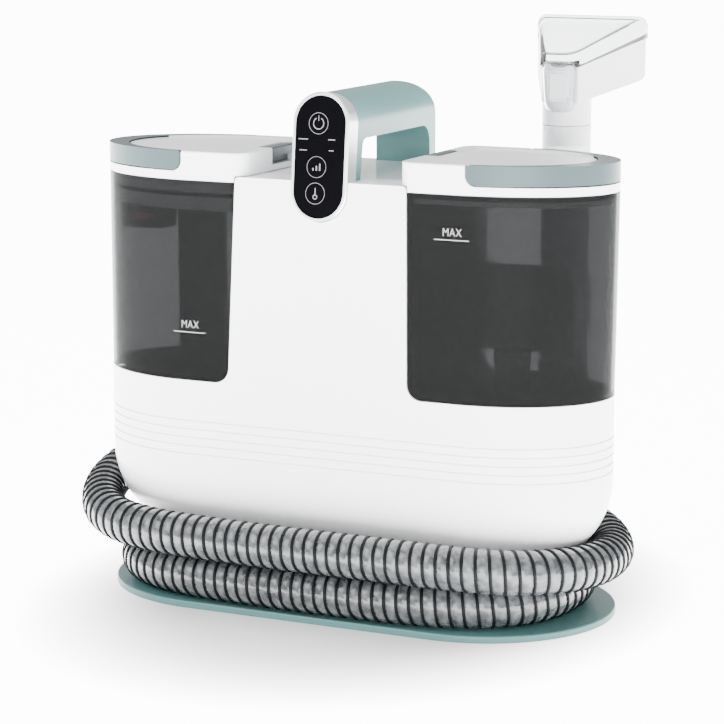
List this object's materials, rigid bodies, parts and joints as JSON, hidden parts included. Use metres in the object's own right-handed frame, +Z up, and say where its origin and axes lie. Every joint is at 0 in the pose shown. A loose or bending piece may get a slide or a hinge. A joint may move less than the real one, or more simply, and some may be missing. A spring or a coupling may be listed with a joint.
{
  "type": "carpet cleaner machine",
  "caption": "Portable spot carpet cleaner with clean and dirty water tanks, a top carry handle, and a wand on a ribbed hose wound round its foot.",
  "frame": {"origin": "centre of the footprint on the floor the machine stands on", "axes": "+Z up, -Y the front with the touch panel, +X the clean water tank"},
  "size_m": [0.4344, 0.2523, 0.425],
  "materials": {
    "white_shell": "satin gloss",
    "pale_green": "satin gloss",
    "deck_white": "gloss",
    "smoked_clear": "smoked clear plastic",
    "clear": "clear plastic",
    "wand_grey": "satin gloss",
    "hose_grey": "ribbed translucent",
    "cuff_grey": "matte",
    "dark_plastic": "matte",
    "rubber": "matte",
    "bezel": "satin",
    "black_glass": "gloss",
    "foam": "open foam",
    "circuit": "lacquered",
    "steel": "brushed",
    "motor_steel": "rolled",
    "fan_alloy": "machined",
    "brass": "turned",
    "pump_grey": "matte",
    "heater_alloy": "cast",
    "water_tube": "translucent silicone",
    "float_orange": "matte"
  },
  "bodies": {
    "machine": {"lower_housing": "white_shell", "upper_housing": "white_shell", "rear_cover": "white_shell", "pedestal": "white_shell", "wand_holder": "white_shell", "base_plate": "pale_green", "handle_left": "pale_green", "handle_right": "pale_green", "top_deck": "deck_white", "wand_tube": "wand_grey", "hose": "hose_grey", "cuff_wand": "cuff_grey", "cuff_port": "cuff_grey", "hose_port": "cuff_grey", "exhaust_grille": "dark_plastic", "control_carrier": "dark_plastic", "fan_housing": "dark_plastic", "valve_seat": "dark_plastic", "air_box": "dark_plastic", "air_pipes": "dark_plastic", "base_pads": "rubber", "cord_gland": "rubber", "tank_seals": "rubber", "motor_mounts": "rubber", "control_bezel": "bezel", "control_glass": "black_glass", "exhaust_filter": "foam", "touch_board": "circuit", "power_board": "circuit", "housing_screws": "steel", "trigger_pin": "steel", "motor_bracket": "steel", "vacuum_motor": "motor_steel", "pump_body": "pump_grey", "water_heater": "heater_alloy", "water_tubes": "water_tube"},
    "clean_tank": {"clean_tank": "smoked_clear", "valve_guard": "dark_plastic", "valve_cap": "dark_plastic", "valve_spring": "steel"},
    "valve": {"valve_poppet": "pump_grey"},
    "clean_lid": {"clean_lid": "white_shell", "clean_gasket": "rubber"},
    "clean_bail": {"clean_bail": "pale_green"},
    "clean_latch": {"clean_latch": "pale_green"},
    "dirty_tank": {"dirty_tank": "smoked_clear", "tank_duct": "smoked_clear"},
    "dirty_lid": {"dirty_lid": "white_shell", "dirty_gasket": "rubber", "float_cage": "smoked_clear"},
    "dirty_bail": {"dirty_bail": "pale_green"},
    "dirty_latch": {"dirty_latch": "pale_green"},
    "float": {"float_block": "float_orange"},
    "impeller": {"impeller": "fan_alloy"},
    "pump_plunger": {"pump_plunger": "brass"},
    "wand_trigger": {"wand_trigger": "pale_green"},
    "nozzle": {"nozzle_body": "white_shell", "nozzle_cover": "clear", "spray_block": "pump_grey"},
    "nozzle_latch": {"nozzle_latch": "pale_green"}
  },
  "joints": [
    {"name": "clean_tank_lift", "type": "slide", "parent": "machine", "child": "clean_tank", "axis": [0, 0, 1], "range_m": [0, 0.19]},
    {"name": "valve_lift", "type": "slide", "parent": "clean_tank", "child": "valve", "axis": [0, 0, 1], "range_m": [0, 0.003], "stiffness_N_per_m": 200, "springref_m": -0.002, "deforming": ["valve_spring"]},
    {"name": "clean_lid_lift", "type": "slide", "parent": "clean_tank", "child": "clean_lid", "axis": [0, 0, 1], "range_m": [0, 0.06]},
    {"name": "clean_bail_swing", "type": "hinge", "parent": "clean_lid", "child": "clean_bail", "pos_m": [0.121, 0, 0.328], "axis": [0, -1, 0], "range_deg": [0, 65]},
    {"name": "clean_latch_push", "type": "slide", "parent": "clean_lid", "child": "clean_latch", "axis": [1, 0, 0], "range_m": [0, 0.003], "stiffness_N_per_m": 300, "springref_m": -0.001},
    {"name": "dirty_tank_lift", "type": "slide", "parent": "machine", "child": "dirty_tank", "axis": [0, 0, 1], "range_m": [0, 0.19]},
    {"name": "dirty_lid_lift", "type": "slide", "parent": "dirty_tank", "child": "dirty_lid", "axis": [0, 0, 1], "range_m": [0, 0.06]},
    {"name": "dirty_bail_swing", "type": "hinge", "parent": "dirty_lid", "child": "dirty_bail", "pos_m": [-0.121, 0, 0.328], "axis": [0, 1, 0], "range_deg": [0, 65]},
    {"name": "dirty_latch_push", "type": "slide", "parent": "dirty_lid", "child": "dirty_latch", "axis": [-1, 0, 0], "range_m": [0, 0.003], "stiffness_N_per_m": 300, "springref_m": -0.001},
    {"name": "float_rise", "type": "slide", "parent": "dirty_lid", "child": "float", "axis": [0, 0, 1], "range_m": [0, 0.0075]},
    {"name": "impeller_spin", "type": "hinge", "parent": "machine", "child": "impeller", "pos_m": [0, -0.008, 0.1], "axis": [0, 0, 1], "continuous": true},
    {"name": "pump_stroke", "type": "slide", "parent": "machine", "child": "pump_plunger", "axis": [1, 0, 0], "range_m": [0, 0.006], "stiffness_N_per_m": 400, "springref_m": -0.001},
    {"name": "trigger_pull", "type": "hinge", "parent": "machine", "child": "wand_trigger", "pos_m": [0.126, 0.1099, 0.278], "axis": [-1, 0, 0], "range_deg": [0, 7.5], "stiffness_Nm_per_rad": 0.8, "springref_deg": -8.59},
    {"name": "nozzle_pull", "type": "slide", "parent": "machine", "child": "nozzle", "axis": [0, 0, 1], "range_m": [0, 0.04]},
    {"name": "nozzle_latch_push", "type": "slide", "parent": "nozzle", "child": "nozzle_latch", "axis": [0, -1, 0], "range_m": [0, 0.0012], "stiffness_N_per_m": 500, "springref_m": -0.0006}
  ]
}
